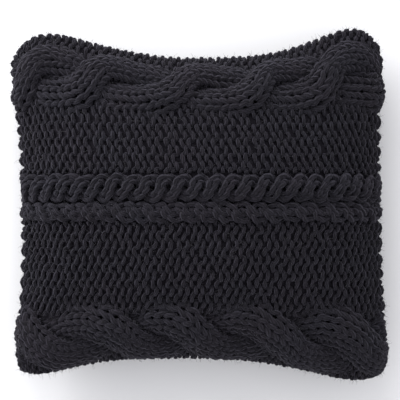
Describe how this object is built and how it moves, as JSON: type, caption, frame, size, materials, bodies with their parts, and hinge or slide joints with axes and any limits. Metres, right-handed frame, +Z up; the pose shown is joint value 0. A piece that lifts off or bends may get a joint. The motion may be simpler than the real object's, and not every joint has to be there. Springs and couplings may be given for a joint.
{
  "type": "throw pillow",
  "caption": "Square throw pillow in a chunky charcoal cable-knit cover with a lining, a zip across the back and a filled insert.",
  "frame": {"origin": "centre of the outline's box, on the surface that the pillow's back lies on", "axes": "+Z up, out of the cabled front; +X along the cables, to the right of the front; +Y to the front's top edge"},
  "size_m": [0.4223, 0.3922, 0.1297],
  "materials": {
    "charcoal_yarn": "matte",
    "dark_lining": "matte",
    "white_casing": "matte",
    "white_fibre": "matte",
    "black_thread": "satin",
    "zip_tape": "matte",
    "zip_coil": "satin",
    "zip_metal": "satin"
  },
  "bodies": {
    "pillow": {"front_knit_panel": "charcoal_yarn", "back_knit_upper": "charcoal_yarn", "back_knit_lower": "charcoal_yarn", "back_join_left": "charcoal_yarn", "back_join_right": "charcoal_yarn", "seam_yarn": "charcoal_yarn", "lining_front": "dark_lining", "lining_back_upper": "dark_lining", "lining_back_lower": "dark_lining", "lining_seam_thread": "black_thread", "insert_casing_front": "white_casing", "insert_casing_back": "white_casing", "insert_seam_thread": "black_thread", "fibre_fill": "white_fibre", "zip_tape_upper": "zip_tape", "zip_tape_lower": "zip_tape", "zip_stitch_upper": "black_thread", "zip_stitch_lower": "black_thread", "zip_coil_upper": "zip_coil", "zip_coil_lower": "zip_coil", "zip_top_stop_upper": "zip_metal", "zip_top_stop_lower": "zip_metal", "zip_bottom_stop": "zip_metal"},
    "zip_slider": {"zip_slider_body": "zip_metal"},
    "zip_pull": {"zip_pull_tab": "zip_metal"}
  },
  "joints": [
    {"name": "zip_slide", "type": "slide", "parent": "pillow", "child": "zip_slider", "axis": [-1, 0, 0], "range_m": [0, 0.226]},
    {"name": "pull_tab_swing", "type": "hinge", "parent": "zip_slider", "child": "zip_pull", "pos_m": [0.113, -0.05698, 0.0033], "axis": [0, -1, 0], "range_deg": [0, 180]}
  ]
}
